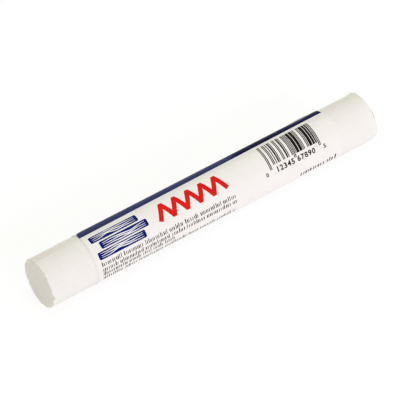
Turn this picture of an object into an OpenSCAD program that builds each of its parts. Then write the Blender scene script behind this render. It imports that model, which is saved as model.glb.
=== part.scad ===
// Furniture repair wax stick: a round rod of soft filling wax in a printed film wrap.
// The film is bonded to itself along a lapped seam and not to the wax, so the wrap can be
// pushed along the stick as the wax wears down.
// The stick lies along X on the plane z = 0, with its front end towards -X. The pieces are
// drawn about the stick's own axis, where a turn of 0 is its top and turns grow towards -Y.

/* [Wax stick] */
// Diameter of the wax
stick_d = 15.7; // [10:0.1:24]
// Length of the wax from end to end
stick_len = 118.8; // [80:0.1:200]
// How far the front cut runs out of square, from its lower edge to its upper one
front_slant = 0.35; // [0.05:0.05:1.5]
// Radius of the scoops where wax has broken off the front rim
chip_r = 1.5; // [0.8:0.1:3]
// Depth of the deepest scoop, across the corner of the rim
chip_depth = 0.4; // [0.1:0.05:0.8]
// Rounding of the butt end's rim, where the blade went in
butt_round = 0.35; // [0.2:0.05:1.5]
// Height of the burr on the butt end's rim, where the blade came out
burr_h = 0.3; // [0.1:0.05:0.8]
// Length of the burr's flare along the stick
burr_len = 3; // [2:0.1:8]
// Depth below the wax's surface at which the flare starts
burr_root = 0.1; // [0.05:0.05:0.3]
// Offset of the flare's cone from the stick's axis, which makes the burr one-sided
burr_shift = 1.8; // [0.5:0.1:3]
// Turn of the burr's highest point
burr_turn = -54; // [-180:1:180]

/* [Label] */
// Length of bare wax in front of the label
bare_front = 16; // [6:0.1:30]
// Length of bare wax behind the label
bare_butt = 13.4; // [8:0.1:30]
// Thickness of the printed film
film_t = 0.06; // [0.05:0.01:0.3]
// Radial play between the wax and the film
film_play = 0.03; // [0.02:0.01:0.1]
// Turn of the film's free edge, on the outside of the lap
free_edge_turn = -60; // [-90:1:-45]
// Width of the lap, along the film
lap_w = 5; // [4:0.1:9]
// Width in which the outer film comes down from the lap to the wax
drape_w = 1; // [0.4:0.1:2]

/* [Seam] */
// Thickness of the bond between the two layers of film
bond_t = 0.04; // [0.03:0.01:0.15]
// Play between the adhesive and the film over it
bond_play = 0.01; // [0.005:0.005:0.02]
// Distance from the free edge to the adhesive
bond_inset = 0.4; // [0.1:0.1:1]
// Width of the strip along the free edge that has let go
loose_w = 2.8; // [1.5:0.1:4]
// Length of that strip, from the label's edge at the butt end
loose_len = 12.5; // [8:0.5:35]
// Height of the pucker in it
pucker_h = 0.3; // [0.1:0.05:1]

/* [Hidden] */
$fn = 180;

// Cuts and stock run past a face by this much
overrun = 2;
// Place of the pucker's peak along the loose strip
pucker_peak_share = 0.52;
// Scoops in the front rim: place as a share of a full turn, size as a share of the largest
chip_shares = [[0.24, 1], [0.295, 0.7], [0.06, 0.45], [0.645, 0.45], [0.81, 0.8]];
// Steps of the flap's sheet, round the stick and along the loose strip
flap_turn_steps = 10;
flap_len_steps = 18;
// Steps of the drape's curve
drape_steps = 8;
// Place in the drape's last step at which the wound film takes over from it
foot_share = 0.08;
// Depth to which the drape's end is tucked into the wound film, as a share of its thickness
tuck_share = 0.25;

stick_r = stick_d / 2;
film_in_r = stick_r + film_play;
film_out_r = film_in_r + film_t;
lap_in_r = film_out_r + bond_t;
lap_out_r = lap_in_r + film_t;

front_z = -stick_len / 2;
butt_z = stick_len / 2;
label_z = front_z + bare_front;
label_len = stick_len - bare_front - bare_butt;

lap_turn = turn_of(lap_w, lap_out_r);
drape_turn = turn_of(drape_w, lap_out_r);
inner_edge_turn = free_edge_turn + lap_turn;
wound_turn = inner_edge_turn + drape_turn * (drape_steps - 1 + foot_share) / drape_steps;

function turn_of(width, radius) = width / radius * 180 / PI;
function ease(t) = (1 - cos(180 * t)) / 2;
function at_turn(radius, turn) = [radius * cos(turn), radius * sin(turn)];
function front_face_z(x) = front_z + front_slant * (x + stick_r) / stick_d;

// Height of the pucker at a distance along the loose strip and in from the free edge
function pucker(along, inward) =
    let (
        skew = ln(0.5) / ln(pucker_peak_share),
        run = max(0, along / loose_len),
        rise = max(0, 1 - inward / loose_w)
    )
    pucker_h * pow(sin(180 * pow(run, skew)), 2) * pow(rise, 2);

// Lays a piece that is drawn along the stick's axis down on the plane
module lay_down() {
    translate([0, 0, film_out_r])
        rotate([0, -90, 180])
            children();
}

// Half section of the rod: square stock at the front, rounded rim at the butt
module rod_section() {
    stock_z = front_z - overrun;
    translate([0, stock_z])
        square([stick_r, butt_z - butt_round - stock_z]);
    translate([0, stock_z])
        square([stick_r - butt_round, butt_z - stock_z]);
    translate([stick_r - butt_round, butt_z - butt_round])
        circle(r = butt_round);
}

// Flare of wax that the blade dragged over the rim as it came out
module burr() {
    rotate([0, 0, burr_turn])
        translate([burr_shift, 0, butt_z - burr_len])
            cylinder(
                h = burr_len,
                r1 = stick_r - burr_root - burr_shift,
                r2 = stick_r + burr_h - burr_shift
            );
}

// Waste that the slanted front cut takes off
module front_waste() {
    reach = stick_r + overrun;
    rotate([90, 0, 0])
        linear_extrude(height = 2 * reach, center = true)
            polygon([
                [-reach, front_face_z(-reach)],
                [reach, front_face_z(reach)],
                [reach, front_z - 2 * overrun],
                [-reach, front_z - 2 * overrun]
            ]);
}

// One scoop out of the front rim
module rim_chip(turn, size_share) {
    ball_r = chip_r * size_share;
    stand_off = (chip_r - chip_depth) * size_share / sqrt(2);
    rotate([0, 0, turn])
        translate([stick_r + stand_off, 0, front_face_z(stick_r * cos(turn)) - stand_off])
            sphere(r = ball_r);
}

module wax_stick() {
    color("#f0ece4")
        lay_down()
            difference() {
                union() {
                    rotate_extrude()
                        rod_section();
                    burr();
                }
                front_waste();
                for (chip = chip_shares)
                    rim_chip(360 * chip[0], chip[1]);
            }
}

// The turn of film that lies on the wax, from the foot of the drape round to under the lap
module wound_section() {
    reach = film_out_r + overrun;
    difference() {
        circle(r = film_out_r);
        circle(r = film_in_r);
        polygon([[0, 0], at_turn(reach, inner_edge_turn), at_turn(reach, wound_turn)]);
    }
}

// The strip of film that comes down off the lap, with its end tucked into the wound film
module drape_section() {
    shares = [for (i = [0 : drape_steps]) i / drape_steps];
    rise = [for (share = shares) (1 - ease(share)) * (bond_t + film_t)];
    tuck = [for (share = shares) share < 1 ? 0 : film_t * tuck_share];
    turns = [for (share = shares) inner_edge_turn + share * drape_turn];
    outer = [
        for (i = [0 : drape_steps])
            at_turn(film_out_r + rise[i] - tuck[i], turns[i])
    ];
    inner = [
        for (i = [drape_steps : -1 : 0])
            at_turn(film_in_r + rise[i] + tuck[i], turns[i])
    ];
    polygon(concat(outer, inner));
}

// The outer layer of the lap, a thin sheet whose free edge has puckered near the butt end
module flap() {
    row = flap_turn_steps + 1;
    loose_z = label_z + label_len - loose_len;
    levels = concat(
        [label_z],
        [for (i = [0 : flap_len_steps]) loose_z + loose_len * i / flap_len_steps]
    );
    rows = len(levels);
    sheet = function (radius) [
        for (z = levels)
            for (j = [0 : flap_turn_steps])
                let (
                    share = j / flap_turn_steps,
                    lift = pucker(z - loose_z, share * lap_w)
                )
                concat(at_turn(radius + lift, free_edge_turn + share * lap_turn), z)
    ];
    inner = function (i, j) i * row + j;
    outer = function (i, j) rows * row + i * row + j;
    skins = [
        for (i = [0 : rows - 2])
            for (j = [0 : flap_turn_steps - 1])
                each [
                    [outer(i, j), outer(i + 1, j), outer(i + 1, j + 1)],
                    [outer(i, j), outer(i + 1, j + 1), outer(i, j + 1)],
                    [inner(i, j), inner(i, j + 1), inner(i + 1, j + 1)],
                    [inner(i, j), inner(i + 1, j + 1), inner(i + 1, j)]
                ]
    ];
    long_edges = [
        for (i = [0 : rows - 2])
            each [
                [inner(i, 0), inner(i + 1, 0), outer(i + 1, 0), outer(i, 0)],
                [
                    inner(i, row - 1), outer(i, row - 1),
                    outer(i + 1, row - 1), inner(i + 1, row - 1)
                ]
            ]
    ];
    end_edges = [
        for (j = [0 : flap_turn_steps - 1])
            each [
                [inner(0, j), outer(0, j), outer(0, j + 1), inner(0, j + 1)],
                [
                    inner(rows - 1, j), inner(rows - 1, j + 1),
                    outer(rows - 1, j + 1), outer(rows - 1, j)
                ]
            ]
    ];
    polyhedron(
        points = concat(sheet(lap_in_r), sheet(lap_out_r)),
        faces = concat(skins, long_edges, end_edges)
    );
}

module label_wrap() {
    color("#f5f3f0")
        lay_down() {
            translate([0, 0, label_z])
                linear_extrude(height = label_len) {
                    wound_section();
                    drape_section();
                }
            flap();
        }
}

module seam_adhesive() {
    inset_turn = turn_of(bond_inset, lap_out_r);
    color("#d9cfae")
        lay_down()
            rotate([0, 0, free_edge_turn + inset_turn])
                rotate_extrude(angle = lap_turn - inset_turn)
                    translate([film_out_r, label_z])
                        square([bond_t - bond_play, label_len]);
}

wax_stick();
label_wrap();
seam_adhesive();
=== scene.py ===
"""A wax repair stick in its printed film wrap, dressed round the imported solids.

The stick lies along X on the plane z = 0, with its front end towards -X. A turn of 0 is the top of
the stick, and turns grow towards -Y. The label and its print are drawn flat, with x along the stick
and y up the label as it is read, and are then wound round the stick.
"""

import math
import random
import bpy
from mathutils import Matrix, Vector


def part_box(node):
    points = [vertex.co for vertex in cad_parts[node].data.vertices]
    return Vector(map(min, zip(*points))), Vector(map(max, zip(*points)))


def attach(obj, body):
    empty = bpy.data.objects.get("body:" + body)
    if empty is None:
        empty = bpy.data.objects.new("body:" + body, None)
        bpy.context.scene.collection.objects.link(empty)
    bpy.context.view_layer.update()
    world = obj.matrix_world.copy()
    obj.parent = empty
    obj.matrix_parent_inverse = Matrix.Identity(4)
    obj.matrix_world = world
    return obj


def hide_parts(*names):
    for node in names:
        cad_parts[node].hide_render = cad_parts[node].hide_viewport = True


bl_info = {
    "name": "Wax Repair Stick",
    "version": (1, 0, 0),
    "blender": (4, 5, 0),
    "location": "View3D > Sidebar > Wax Stick",
    "description": "Builds a wax repair stick in its printed film wrap",
    "category": "Object",
}

import bmesh
import bpy
from bpy.props import FloatProperty, FloatVectorProperty, IntProperty, PointerProperty
from bpy.types import Operator, Panel, PropertyGroup
from mathutils import Vector, noise

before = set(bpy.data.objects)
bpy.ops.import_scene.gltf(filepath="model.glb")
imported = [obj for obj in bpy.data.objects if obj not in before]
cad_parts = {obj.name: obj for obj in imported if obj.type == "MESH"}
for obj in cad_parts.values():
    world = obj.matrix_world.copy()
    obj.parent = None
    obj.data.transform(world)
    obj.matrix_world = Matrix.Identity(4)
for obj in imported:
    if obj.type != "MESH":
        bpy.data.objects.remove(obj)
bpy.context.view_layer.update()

MM = 0.001

WAX_LOW, WAX_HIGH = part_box("wax_stick")
FILM_LOW, FILM_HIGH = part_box("label_wrap")
AXIS_Z = (WAX_LOW.z + WAX_HIGH.z) / 2
WAX_R = (WAX_HIGH.z - WAX_LOW.z) / 2
FILM_R = AXIS_Z - FILM_LOW.z
FULL_TURN = 2 * math.pi


def amount(name, description, value, **options):
    """A property that holds a plain number."""
    return FloatProperty(name=name, description=description, default=value, **options)


def length(name, description, millimetres):
    """A size property, given in millimetres and held in metres."""
    return amount(name, description, millimetres * MM, precision=6, unit="LENGTH")


def angle(name, description, degrees):
    """An angle property, given in degrees."""
    return amount(name, description, math.radians(degrees), subtype="ANGLE")


def share(name, description, value):
    """A property that is a share of something, from 0 to 1."""
    return amount(name, description, value, min=0, max=1, subtype="FACTOR")


def colour(name, description, rgb):
    """A colour property, in linear light."""
    return FloatVectorProperty(
        name=name, description=description, default=rgb, size=3, min=0, max=1, subtype="COLOR"
    )


class WaxSettings(PropertyGroup):
    """Sizes and colours of the wax rod."""

    rim_wear: length("Rim Wear", "Rounding worn onto the front rim", 0.09)
    rim_top_wear: length("Top Wear", "Further rounding where the rim is handled, at the top", 0.06)
    front_slant: length("Front Slant", "How far the front cut runs out of square", 0.35)
    chip_radius: length("Chip Radius", "Radius of the largest scoop in the front rim", 1.5)
    chip_depth: length("Chip Depth", "Depth of that scoop across the rim's corner", 0.4)
    butt_round: length("Butt Rounding", "Rounding of the butt end's rim", 0.35)
    burr_height: length("Burr Height", "Height of the burr on the butt end's rim", 0.3)
    burr_length: length("Burr Length", "Length of the burr's flare along the stick", 3)
    burr_turn: angle("Burr Turn", "Turn of the burr's highest point", -54)
    cut_relief: length("Cut Relief", "Height of the ridges that the blade left on the ends", 0.012)
    side_relief: length("Side Relief", "Depth of the shallow dents along the rod", 0.03)
    body: colour("Wax", "Colour of the wax", (0.89, 0.86, 0.812))
    rubbed: colour("Rubbed Wax", "Colour of the wax along worn rims", (0.87, 0.82, 0.74))
    speck: colour("Specks", "Colour of the specks in the wax", (0.72, 0.55, 0.38))


class LabelSettings(PropertyGroup):
    """Sizes and colours of the film wrap and its seam."""

    thickness: length("Film", "Thickness of the film", 0.06)
    free_turn: angle("Free Edge", "Turn of the film's free edge, outside the lap", -60)
    lap_turn: angle("Lap", "Turn that the lap covers", 35.632)
    drape_turn: angle("Drape", "Turn in which the outer film comes down from the lap", 7.126)
    edge_thinning: length("Edge Thinning", "How much thinner the film is at its cut ends", 0.035)
    bond: length("Bond", "Thickness of the bond between the layers", 0.04)
    bond_play: length("Bond Play", "Play between the adhesive and the film over it", 0.01)
    bond_inset: length("Bond Inset", "Distance from the free edge to the adhesive", 0.4)
    loose_width: length("Loose Width", "Width of the strip of free edge that has let go", 2.8)
    loose_length: length("Loose Length", "Length of that strip, from the butt end", 12.5)
    pucker_height: length("Pucker", "Height of the pucker in the loose strip", 0.3)
    pucker_peak: share("Pucker Peak", "Place of the pucker's peak along the loose strip", 0.52)
    wave_height: length("Wave", "Height of the slack waves in the film", 0.008)
    wave_length: length("Wave Length", "Distance between those waves", 9)
    film: colour("Film Colour", "Colour of the bare film", (0.898, 0.864, 0.82))
    # Beige at the film's cut ends: soil, and painted shade at the edge
    soil_and_shade_colour: colour("Soiled Edge", "Colour of the film along its cut edges", (0.68, 0.61, 0.5))
    # Painted shade on the loose lip: grey-brown that stands for the shadowed gap under its lifted
    # free edge
    lip_shade_colour: colour("Dusty Lip", "Colour of dust on the loose free edge", (0.11, 0.102, 0.09))
    bond_colour: colour("Adhesive", "Colour of the adhesive in the lap", (0.72, 0.64, 0.46))


class PrintSettings(PropertyGroup):
    """Sizes and colours of the print on the label."""

    ink_rise: length("Ink", "Height of the ink over the film", 0.012)
    ink_root: length("Ink Root", "Depth to which the ink goes into the film", 0.004)
    over_rise: length("Over Print", "Height of ink that is printed over ink", 0.02)
    stripe_front: length("Stripe Front", "Height of the stripe's lower edge at the front end", 2.21)
    stripe_butt: length("Stripe Butt", "Height of the stripe's lower edge at the butt end", 3.01)
    stripe_margin: length("Stripe Margin", "Bare film between the stripe and the free edge", 1.7)
    stripe_corner: length("Stripe Corner", "Rounding of the stripe's upper corner in front", 3.3)
    stripe_inset: length("Stripe Inset", "Bare film between the front edge and the stripe", 0.12)
    stripe_gap: length("Stripe Gap", "Bare film between the stripe and the butt end's edge", 0.5)
    seed: IntProperty(name="Seed", description="Seed of the made-up marks", default=11)
    # The stripe's navy holds a painted sheen: it is lighter than the ink itself
    navy: colour("Stripe Navy", "Colour of the stripe", (0.038, 0.047, 0.148))
    # The darker navy towards the butt end is the ink without that painted sheen
    loose_navy_without_sheen: colour(
        "Loose Navy", "Colour of the stripe where the lap is loose", (0.003, 0.004, 0.05)
    )
    board_navy: colour("Board Navy", "Colour of the boards", (0.006, 0.013, 0.15))
    red: colour("Red", "Colour of the rub mark", (0.72, 0.016, 0.011))
    dark: colour("Dark", "Colour of the notes and bars", (0.012, 0.011, 0.01))
    white: colour("White", "Colour of the grain on the boards", (0.9, 0.89, 0.87))


class StageSettings(PropertyGroup):
    """Camera, lamps and floor."""

    azimuth: angle("Azimuth", "Camera's place round the stick", -34.69)
    elevation: angle("Elevation", "Camera's height over the horizon", 48.52)
    distance: length("Distance", "Camera's distance from the stick's middle", 800)
    lens: amount("Lens", "Camera's focal length", 238.5, unit="CAMERA")
    shift_x: amount("Shift X", "Camera's sideways shift", -0.012, precision=4)
    shift_y: amount("Shift Y", "Camera's upward shift", -0.006, precision=4)
    key_power: amount("Key", "Power of the soft lamp in front", 4.15, unit="POWER")
    key_azimuth: angle("Key Azimuth", "Place of the front lamp round the stick", 14)
    key_elevation: angle("Key Elevation", "Height of the front lamp over the horizon", 24)
    key_width: length("Key Width", "Width of the front lamp", 900)
    key_height: length("Key Height", "Height of the front lamp", 240)
    key_tint: colour("Key Tint", "Colour of the front lamp", (0.813, 0.796, 1))
    top_power: amount("Top", "Power of the soft lamp overhead", 1.73, unit="POWER")
    top_azimuth: angle("Top Azimuth", "Place of the top lamp round the stick", 150)
    top_elevation: angle("Top Elevation", "Height of the top lamp over the horizon", 62)
    top_width: length("Top Width", "Width of the top lamp", 900)
    top_height: length("Top Height", "Height of the top lamp", 840)
    top_tint: colour("Top Tint", "Colour of the top lamp", (0.863, 0.992, 1))
    lamp_distance: length("Lamp Distance", "Distance of the lamps from the stick", 900)
    ambient: amount("Ambient", "Strength of the light from all round", 0.614)
    ambient_tint: colour("Ambient Tint", "Colour of the light from all round", (1, 0.975, 0.859))
    floor: colour("Floor", "Colour of the floor", (0.92, 0.92, 0.92))
    floor_size: length("Floor Size", "Length of the floor's sides", 4000)
    glow: share("Floor White", "White that the floor shows apart from the light on it", 0.76)
    shadow: share("Shadow", "How strongly the floor shows the light and shadow on it", 0.3)


class WaxStickSettings(PropertyGroup):
    """All of the stick's settings."""

    wax: PointerProperty(type=WaxSettings)
    label: PointerProperty(type=LabelSettings)
    marks: PointerProperty(type=PrintSettings)
    stage: PointerProperty(type=StageSettings)


# Node trees

def set_socket(tree, socket, value):
    """Sets an input to a value, or links it to a number or an output."""
    if isinstance(value, Number):
        value = value.socket
    if isinstance(value, bpy.types.NodeSocket):
        tree.links.new(value, socket)
    else:
        socket.default_value = value


def add_node(tree, kind, sockets=(), **settings):
    """One node of a tree, with its settings made and its inputs set or linked."""
    node = tree.nodes.new(kind)
    for name, value in settings.items():
        setattr(node, name, value)
    for name, value in dict(sockets).items():
        set_socket(tree, node.inputs[name], value)
    return node


class Number:
    """A number in a node tree, and the sums that can be made with it."""

    def __init__(self, tree, socket):
        self.tree = tree
        self.socket = socket

    def sum_of(self, operation, *values, **settings):
        node = add_node(
            self.tree, "ShaderNodeMath", enumerate(values), operation=operation, **settings
        )
        return Number(self.tree, node.outputs[0])

    def __add__(self, other):
        return self.sum_of("ADD", self, other)

    def __sub__(self, other):
        return self.sum_of("SUBTRACT", self, other)

    def __rsub__(self, other):
        return self.sum_of("SUBTRACT", other, self)

    def __mul__(self, other):
        return self.sum_of("MULTIPLY", self, other)

    def __truediv__(self, other):
        return self.sum_of("DIVIDE", self, other)

    def __rtruediv__(self, other):
        return self.sum_of("DIVIDE", other, self)

    def __pow__(self, other):
        return self.sum_of("POWER", self, other)

    def sine(self):
        return self.sum_of("SINE", self)

    def cosine(self):
        return self.sum_of("COSINE", self)

    def most(self, other):
        return self.sum_of("MAXIMUM", self, other)

    def clamped(self):
        return self.sum_of("ADD", self, 0, use_clamp=True)

    def eased(self, start, end):
        """0 at start and 1 at end, with a smooth step between them."""
        node = add_node(
            self.tree,
            "ShaderNodeMapRange",
            {"Value": self, "From Min": start, "From Max": end},
            interpolation_type="SMOOTHSTEP",
        )
        return Number(self.tree, node.outputs[0])

    def spread(self, low, high):
        """From low, where the number is 0, to high, where it is 1."""
        node = add_node(
            self.tree, "ShaderNodeMapRange", {"Value": self, "To Min": low, "To Max": high}
        )
        return Number(self.tree, node.outputs[0])


def parts_of(tree, vector):
    """The three parts of a vector."""
    split = add_node(tree, "ShaderNodeSeparateXYZ", {0: vector})
    return [Number(tree, part) for part in split.outputs]


def free_line(label):
    """Height of the film's free edge on the flat label."""
    return -label.free_turn * FILM_R


def lap_line(label):
    """Height on the flat label at which the lap starts to come down."""
    return -(label.free_turn + label.lap_turn) * FILM_R


def start_line(label):
    """Height of the film's start on the flat label, which lies under the lap once it is wound."""
    return -(FULL_TURN + label.free_turn + label.lap_turn) * FILM_R


# Inputs of the trees that wind the label on, and how each comes from the label's settings
WRAP_SIZES = {
    "Film Radius": lambda label: FILM_R,
    "Axis Height": lambda label: AXIS_Z,
    "Foot Line": lambda label: -(label.free_turn + label.lap_turn + label.drape_turn) * FILM_R,
    "Lap Line": lap_line,
    "Lap Rise": lambda label: label.bond + label.thickness,
    "Free Edge": free_line,
    "Butt Edge": lambda label: FILM_HIGH.x,
    "Loose Length": lambda label: label.loose_length,
    "Loose Width": lambda label: (
        label.loose_width * FILM_R / (FILM_R + label.bond + label.thickness)
    ),
    "Pucker Height": lambda label: label.pucker_height,
    "Pucker Skew": lambda label: math.log(0.5) / math.log(label.pucker_peak),
    "Wave Height": lambda label: label.wave_height,
    "Wave Length": lambda label: label.wave_length,
}


def new_tree(name, inputs):
    """An empty tree with named inputs and one geometry output."""
    tree = bpy.data.node_groups.new(name, "GeometryNodeTree")
    for socket_name, kind in inputs:
        tree.interface.new_socket(name=socket_name, in_out="INPUT", socket_type=kind)
    tree.interface.new_socket(name="Geometry", in_out="OUTPUT", socket_type="NodeSocketGeometry")
    return tree, tree.nodes.new("NodeGroupInput").outputs, tree.nodes.new("NodeGroupOutput")


def wrap_inputs():
    """Inputs of every tree that ends in the wrap."""
    sizes = [(name, "NodeSocketFloat") for name in WRAP_SIZES]
    return [("Geometry", "NodeSocketGeometry"), *sizes, ("Material", "NodeSocketMaterial")]


def wrap_tree():
    """Winds flat geometry round the stick, over the lap and the pucker in its free edge."""
    name = "Wrap on stick"
    if name in bpy.data.node_groups:
        return bpy.data.node_groups[name]
    tree, given, result = new_tree(name, wrap_inputs())
    size = {key: Number(tree, given[key]) for key in WRAP_SIZES}
    place = tree.nodes.new("GeometryNodeInputPosition").outputs[0]
    x, y, z = parts_of(tree, place)

    lap = y.eased(size["Foot Line"], size["Lap Line"]) * size["Lap Rise"]
    run = ((x - size["Butt Edge"]) / size["Loose Length"] + 1).clamped()
    crest = (run ** size["Pucker Skew"] * math.pi).sine() ** 2
    rise = (1 - (size["Free Edge"] - y) / size["Loose Width"]).clamped() ** 2
    pucker = crest * rise * size["Pucker Height"]
    waves = add_node(
        tree,
        "ShaderNodeTexNoise",
        {"Vector": place, "Scale": 1 / size["Wave Length"], "Detail": 1.0},
    )
    wave = (Number(tree, waves.outputs[0]) * 2 - 1) * size["Wave Height"]

    reach = size["Film Radius"] + z + lap + pucker + wave
    turn = y / size["Film Radius"]
    wound = add_node(
        tree,
        "ShaderNodeCombineXYZ",
        {0: x, 1: reach * turn.sine(), 2: reach * turn.cosine() + size["Axis Height"]},
    )
    moved = add_node(
        tree,
        "GeometryNodeSetPosition",
        {"Geometry": given["Geometry"], "Position": wound.outputs[0]},
    )
    real = add_node(tree, "GeometryNodeRealizeInstances", {0: moved.outputs[0]})
    painted = add_node(
        tree,
        "GeometryNodeSetMaterial",
        {"Geometry": real.outputs[0], "Material": given["Material"]},
    )
    tree.links.new(painted.outputs[0], result.inputs[0])
    return tree


def marks_tree():
    """Prints a small block at each point, as wide and high as the point says, and winds them on."""
    name = "Printed marks"
    if name in bpy.data.node_groups:
        return bpy.data.node_groups[name]
    extra = [("Rows", "NodeSocketInt"), ("Ink Depth", "NodeSocketFloat")]
    tree, given, result = new_tree(name, wrap_inputs() + extra)
    rows = Number(tree, given["Rows"])
    block = add_node(tree, "GeometryNodeMeshCube", {"Vertices Y": rows + 1})
    block.inputs["Size"].default_value = (1, 1, 1)
    spans = [
        add_node(tree, "GeometryNodeInputNamedAttribute", {"Name": key}).outputs[0]
        for key in ("mark_width", "mark_height")
    ]
    scale = add_node(
        tree, "ShaderNodeCombineXYZ", {0: spans[0], 1: spans[1], 2: given["Ink Depth"]}
    )
    blocks = add_node(
        tree,
        "GeometryNodeInstanceOnPoints",
        {"Points": given["Geometry"], "Instance": block.outputs[0], "Scale": scale.outputs[0]},
    )
    real = add_node(tree, "GeometryNodeRealizeInstances", {0: blocks.outputs[0]})
    wrap = add_node(
        tree,
        "GeometryNodeGroup",
        [("Geometry", real.outputs[0]), ("Material", given["Material"])],
        node_tree=wrap_tree(),
    )
    for key in WRAP_SIZES:
        tree.links.new(given[key], wrap.inputs[key])
    tree.links.new(wrap.outputs[0], result.inputs[0])
    return tree


def plain_mesh(holder):
    """What an object shows, as a plain mesh."""
    bpy.context.view_layer.update()
    shown = holder.evaluated_get(bpy.context.evaluated_depsgraph_get())
    return bpy.data.meshes.new_from_object(shown)


def wind(mesh, label, finish, tree=None, extra=()):
    """A piece from a flat mesh, wound round the stick by a tree and left as a plain mesh."""
    piece = new_piece(mesh.name, mesh)
    tree = tree or wrap_tree()
    values = {name: size(label) for name, size in WRAP_SIZES.items()}
    values.update(extra, Material=finish)
    modifier = piece.modifiers.new(tree.name, "NODES")
    modifier.node_group = tree
    for item in tree.interface.items_tree:
        if item.in_out == "INPUT" and item.name in values:
            modifier[item.identifier] = values[item.name]
    wound = plain_mesh(piece)
    if not wound.polygons:
        raise RuntimeError(f"{piece.name} came out empty")
    piece.modifiers.clear()
    piece.data = wound
    bpy.data.meshes.remove(mesh)
    wound.name = piece.name
    return piece


# Meshes

# Height of the steps that let a flat shape bend, and the gap that closes in cutting them, both in
# millimetres, and the sharpest corner that a stroke is mitred at
BEND_STEP = 0.35
CUT_SNAP = 0.0005
MITRE_LIMIT = 0.3


def new_piece(name, data):
    """An object for a mesh, a text, a lamp or a camera, at the origin."""
    piece = bpy.data.objects.new(name, data)
    bpy.context.scene.collection.objects.link(piece)
    return piece


def add_attribute(mesh, name, values):
    """A number for each point of a mesh."""
    mesh.attributes.new(name, "FLOAT", "POINT").data.foreach_set("value", values)


def slab(name, points, faces, low, high, **values):
    """A closed slab from flat faces, between two heights, with values at its points."""
    count = len(points)
    tops = []
    for face in faces:
        corners = [points[i] for i in face]
        turns = zip(corners, corners[1:] + corners[:1])
        area = sum(a[0] * b[1] - b[0] * a[1] for a, b in turns)
        tops.append(tuple(face) if area > 0 else tuple(reversed(face)))
    sides = {(a, b) for face in tops for a, b in zip(face, face[1:] + face[:1])}
    rim = sorted((a, b) for a, b in sides if (b, a) not in sides)
    walls = [(b, a, a + count, b + count) for a, b in rim]
    floors = [tuple(i + count for i in reversed(face)) for face in tops]
    mesh = bpy.data.meshes.new(name)
    mesh.from_pydata(
        [(x, y, high) for x, y in points] + [(x, y, low) for x, y in points],
        [],
        tops + floors + walls,
    )
    mesh.polygons.foreach_set("use_smooth", [True] * len(mesh.polygons))
    crisp = {frozenset((a + lift, b + lift)) for a, b in rim for lift in (0, count)}
    for edge in mesh.edges:
        edge.use_edge_sharp = frozenset(edge.vertices) in crisp
    for value_name, value in values.items():
        add_attribute(mesh, value_name, value + value)
    return mesh


def grid_faces(columns, rows):
    """Faces of a flat grid, whose points are listed column by column."""
    return [
        (i * rows + j, (i + 1) * rows + j, (i + 1) * rows + j + 1, i * rows + j + 1)
        for i in range(columns - 1)
        for j in range(rows - 1)
    ]


def patch(columns, low, high, rows):
    """Points and faces of a flat patch, one column for each x, between a low and a high edge."""
    shares = between(0, 1, rows)
    points = [(x, low(x) + (high(x) - low(x)) * part) for x in columns for part in shares]
    return points, grid_faces(len(columns), len(shares))


def ribbon(line, widths, across):
    """Points and faces of a flat stroke along a line, mitred at the line's corners."""
    points = []
    last = len(line) - 1
    for i, here in enumerate(line):
        before = (here - line[i - 1]).normalized() if i else None
        after = (line[i + 1] - here).normalized() if i < last else None
        ahead = ((before or after) + (after or before)).normalized()
        side = Vector((-ahead.y, ahead.x))
        stretch = 1 / max(ahead.dot(after or before), MITRE_LIMIT)
        for j in range(across + 1):
            points.append(tuple(here + side * widths[i] * stretch * (j / across - 0.5)))
    return points, grid_faces(len(line), across + 1)


def flat_of(drawn):
    """Points and faces of a flat drawing, which is freed."""
    drawn.verts.index_update()
    points = [(vert.co.x, vert.co.y) for vert in drawn.verts]
    faces = [tuple(vert.index for vert in face.verts) for face in drawn.faces]
    drawn.free()
    return points, faces


def in_steps(points, faces, low=None, high=None):
    """Flat faces cut into short steps in y, so that they can bend, and trimmed at two heights."""
    drawn = bmesh.new()
    verts = [drawn.verts.new((x, y, 0)) for x, y in points]
    for face in faces:
        drawn.faces.new([verts[i] for i in face])
    heights = [y for _, y in points]
    low = min(heights) if low is None else low
    high = max(heights) if high is None else high
    count = math.ceil((high - low) / BEND_STEP)
    for i, level in enumerate(between(low, high, count)):
        bmesh.ops.bisect_plane(
            drawn,
            geom=[*drawn.verts, *drawn.edges, *drawn.faces],
            plane_co=(0, level, 0),
            plane_no=(0, 1, 0),
            dist=CUT_SNAP,
            clear_inner=i == 0,
            clear_outer=i == count,
        )
    return flat_of(drawn)


def joined(shapes):
    """Several flat shapes as one list of points and one of faces."""
    points, faces = [], []
    for some_points, some_faces in shapes:
        start = len(points)
        points += some_points
        faces += [tuple(i + start for i in face) for face in some_faces]
    return points, faces


def between(start, end, count):
    """Evenly spaced numbers from start to end."""
    return [start + (end - start) * i / count for i in range(count + 1)]


def smooth(value, start, end):
    """0 at start and 1 at end, with a smooth step between them."""
    part = min(1, max(0, (value - start) / (end - start)))
    return part * part * (3 - 2 * part)


def on_stick(x, turn, reach):
    """A point at a turn round the stick and a reach from its axis."""
    return (x, -reach * math.sin(turn), AXIS_Z + reach * math.cos(turn))


# Finishes, with the sizes of what they show

WHITE = (1, 1, 1, 1)
PINHOLE_WHITE = (0.75, 0.74, 0.72, 1)
WAX_CLOUD, WAX_GRAIN = 7 * MM, 0.22 * MM
DRAG_LINE, DRAG_STRETCH = 0.32 * MM, 70
DRAG_BAND, BAND_STRETCH = 4 * MM, 5
# Where the look of the used end fades along the stick, the front face ends, and the top begins
USED_END = (WAX_LOW.x + 5 * MM, WAX_LOW.x + 14 * MM)
FRONT_EDGE = (WAX_LOW.x + 0.45 * MM, WAX_LOW.x + 0.8 * MM)
UPPER_SIDE = (AXIS_Z + 4.5 * MM, AXIS_Z + 7 * MM)
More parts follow.
